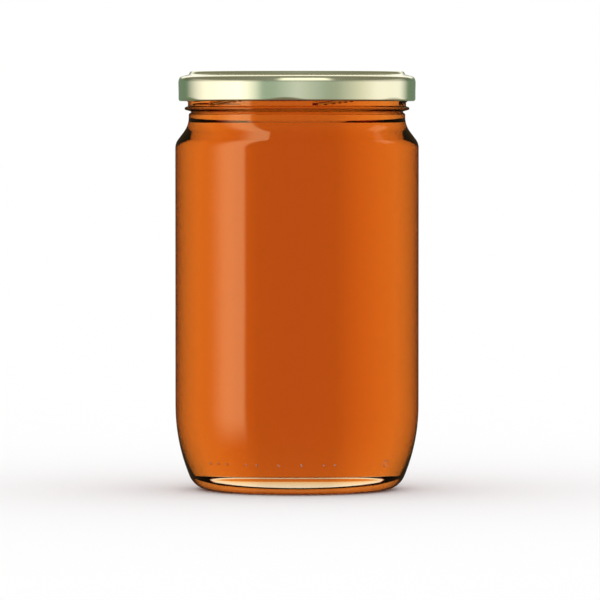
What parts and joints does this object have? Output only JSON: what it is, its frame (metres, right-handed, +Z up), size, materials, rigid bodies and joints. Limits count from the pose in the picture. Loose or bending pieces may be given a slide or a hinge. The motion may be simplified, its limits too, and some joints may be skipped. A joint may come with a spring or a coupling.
{
  "type": "honey jar",
  "caption": "Round clear glass jar filled with amber honey to just under its rim, shut with a pale gold twist-off metal lid.",
  "frame": {"origin": "centre of the jar's base, on the surface it stands on", "axes": "+Z up along the jar's axis, the front faces -Y"},
  "size_m": [0.0886, 0.0886, 0.1522],
  "materials": {
    "glass": "clear, smooth and glossy, faint green tint",
    "honey": "clear amber liquid",
    "lid": "satin pale gold lacquer"
  },
  "bodies": {
    "root": {"glass_jar": "glass", "honey": "honey", "lid": "lid"}
  },
  "joints": []
}
